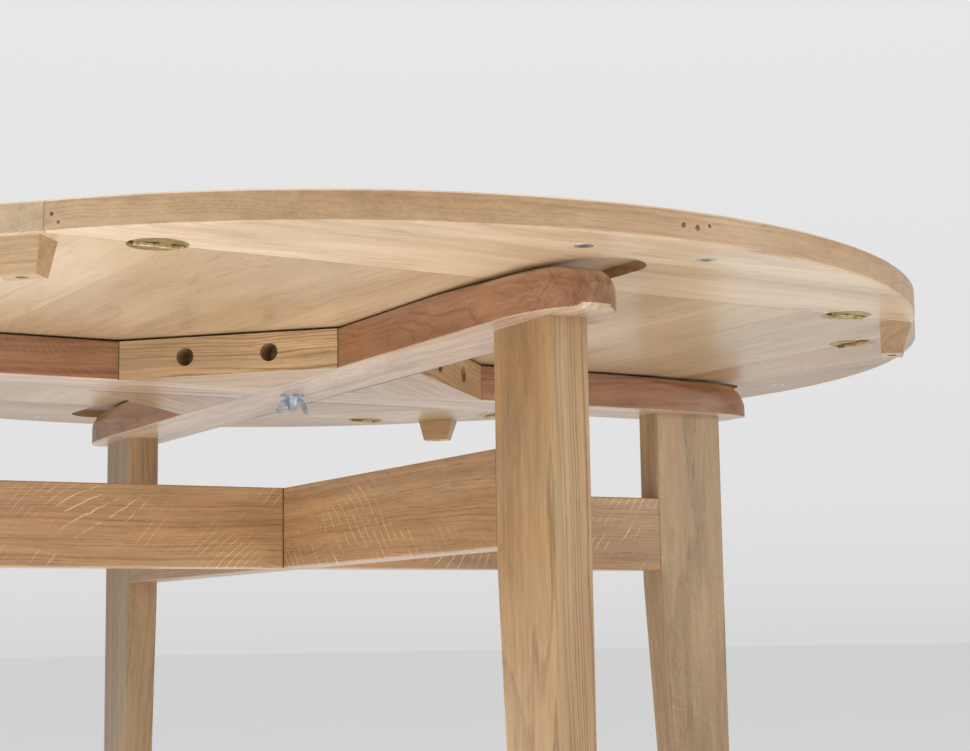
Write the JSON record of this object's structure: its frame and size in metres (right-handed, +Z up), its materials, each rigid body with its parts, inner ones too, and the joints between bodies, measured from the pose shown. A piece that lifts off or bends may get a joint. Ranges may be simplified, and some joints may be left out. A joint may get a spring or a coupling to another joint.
{
  "type": "drop leaf table",
  "caption": "Round drop leaf table: square centre with hinged segment leaves, turning on crossed rails over blade legs and a crossed stretcher.",
  "frame": {"origin": "on the floor, on the pivot axis at the middle of the table", "axes": "+Z up; the crossed rails run along X and Y, with the front leg at -Y and the right leg at +X"},
  "size_m": [1.1998, 1.1998, 0.74],
  "materials": {
    "oak_top": "satin",
    "oak_leaf": "satin",
    "oak_leg": "satin",
    "oak_rail": "satin",
    "oak_stretcher": "satin",
    "oak_gusset": "satin",
    "oak_block": "satin",
    "beech": "satin",
    "brass": "satin",
    "zinc": "zinc plated",
    "disc_steel": "nickel plated",
    "screw_steel": "plated",
    "spacer": "matte"
  },
  "bodies": {
    "frame": {"gusset_back_left": "oak_gusset", "gusset_back_right": "oak_gusset", "gusset_front_left": "oak_gusset", "gusset_front_right": "oak_gusset", "gusset_screws": "screw_steel", "leg_back": "oak_leg", "leg_dowels": "beech", "leg_front": "oak_leg", "leg_left": "oak_leg", "leg_right": "oak_leg", "rail_front_back": "oak_rail", "rail_left_right": "oak_rail", "rail_studs": "beech", "stretcher_front_back": "oak_stretcher", "stretcher_left_right": "oak_stretcher", "clamp_washer": "zinc"},
    "turning_spacer": {"pivot_spacer": "spacer"},
    "top": {"centre_board_1": "oak_top", "centre_board_2": "oak_top", "centre_board_3": "oak_top", "centre_board_4": "oak_top", "centre_board_5": "oak_top", "corner_block_back_left": "oak_block", "corner_block_back_right": "oak_block", "corner_block_front_left": "oak_block", "corner_block_front_right": "oak_block", "corner_block_screws": "screw_steel", "hinge_flaps_centre": "brass", "hinge_pins": "brass", "hinge_screws_centre": "brass", "pivot_bolt": "zinc", "pivot_insert": "zinc"},
    "nut": {"wing_nut": "zinc"},
    "leaf_front": {"leaf_front_discs": "disc_steel", "leaf_front_hinge_flaps": "brass", "leaf_front_inner_board": "oak_leaf", "leaf_front_outer_board": "oak_leaf", "leaf_front_screws": "screw_steel"},
    "leaf_right": {"leaf_right_discs": "disc_steel", "leaf_right_hinge_flaps": "brass", "leaf_right_inner_board": "oak_leaf", "leaf_right_outer_board": "oak_leaf", "leaf_right_screws": "screw_steel"},
    "leaf_back": {"leaf_back_discs": "disc_steel", "leaf_back_hinge_flaps": "brass", "leaf_back_inner_board": "oak_leaf", "leaf_back_outer_board": "oak_leaf", "leaf_back_screws": "screw_steel"},
    "leaf_left": {"leaf_left_discs": "disc_steel", "leaf_left_hinge_flaps": "brass", "leaf_left_inner_board": "oak_leaf", "leaf_left_outer_board": "oak_leaf", "leaf_left_screws": "screw_steel"}
  },
  "joints": [
    {"name": "top_turn", "type": "hinge", "parent": "frame", "child": "turning_spacer", "pos_m": [0, 0, 0.717], "axis": [0, 0, 1], "range_deg": [-47.3, 42.7]},
    {"name": "top_lift", "type": "slide", "parent": "turning_spacer", "child": "top", "axis": [0, 0, 1], "range_m": [0, 0.3]},
    {"name": "leaf_front_fold", "type": "hinge", "parent": "top", "child": "leaf_front", "pos_m": [0.01702, -0.42366, 0.718], "axis": [0.9992, 0.0401, 0], "range_deg": [0, 90]},
    {"name": "leaf_right_fold", "type": "hinge", "parent": "top", "child": "leaf_right", "pos_m": [0.42366, 0.01702, 0.718], "axis": [-0.0401, 0.9992, 0], "range_deg": [0, 90]},
    {"name": "leaf_back_fold", "type": "hinge", "parent": "top", "child": "leaf_back", "pos_m": [-0.01702, 0.42366, 0.718], "axis": [-0.9992, -0.0401, 0], "range_deg": [0, 90]},
    {"name": "leaf_left_fold", "type": "hinge", "parent": "top", "child": "leaf_left", "pos_m": [-0.42366, -0.01702, 0.718], "axis": [0.0401, -0.9992, 0], "range_deg": [0, 90]},
    {"name": "wing_nut_turn", "type": "hinge", "parent": "frame", "child": "nut", "pos_m": [0, 0, 0.675], "axis": [0, 0, 1], "continuous": true}
  ],
  "couplings": [
    {"joint": "leaf_front_fold", "follows": "top_lift", "rad_per_m": 5.2},
    {"joint": "leaf_right_fold", "follows": "top_lift", "rad_per_m": 5.2},
    {"joint": "leaf_back_fold", "follows": "top_lift", "rad_per_m": 5.2},
    {"joint": "leaf_left_fold", "follows": "top_lift", "rad_per_m": 5.2}
  ]
}
